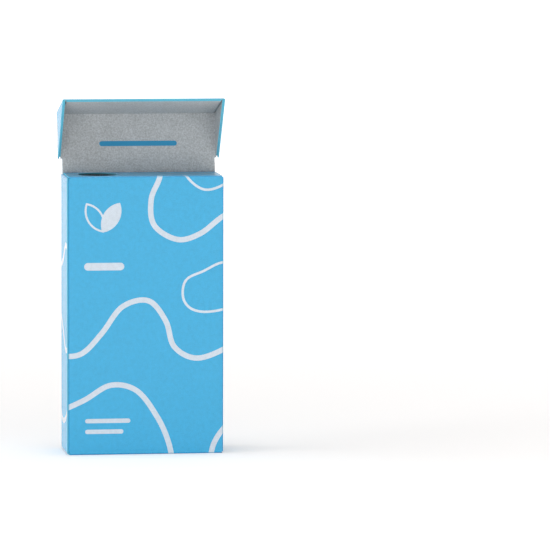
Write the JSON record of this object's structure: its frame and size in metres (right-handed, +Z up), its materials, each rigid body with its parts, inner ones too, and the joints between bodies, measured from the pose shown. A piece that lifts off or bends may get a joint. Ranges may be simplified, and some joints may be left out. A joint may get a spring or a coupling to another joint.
{
  "type": "flip-top mint carton",
  "caption": "Upright folded paperboard carton with a round dispensing hole in its top panel and a hinged flip-top lid with a deep front lip.",
  "frame": {"origin": "middle of the body's base, on the surface that it stands on", "axes": "+Z up, -Y towards the front panel that the lid's lip covers, +X to the right seen from the front"},
  "size_m": [0.056, 0.0255, 0.1221],
  "materials": {
    "body_board": "sky-blue print with pale wavy stripes on coated folding board, grey inside",
    "lid_board": "sky-blue print with pale wavy stripes on coated folding board, grey inside"
  },
  "bodies": {
    "carton": {"carton_body": "body_board"},
    "lid": {"lid": "lid_board"}
  },
  "joints": [
    {"name": "lid_hinge", "type": "hinge", "parent": "carton", "child": "lid", "pos_m": [0, 0.00988, 0.09617], "axis": [-1, 0, 0], "range_deg": [-105, 75]}
  ]
}
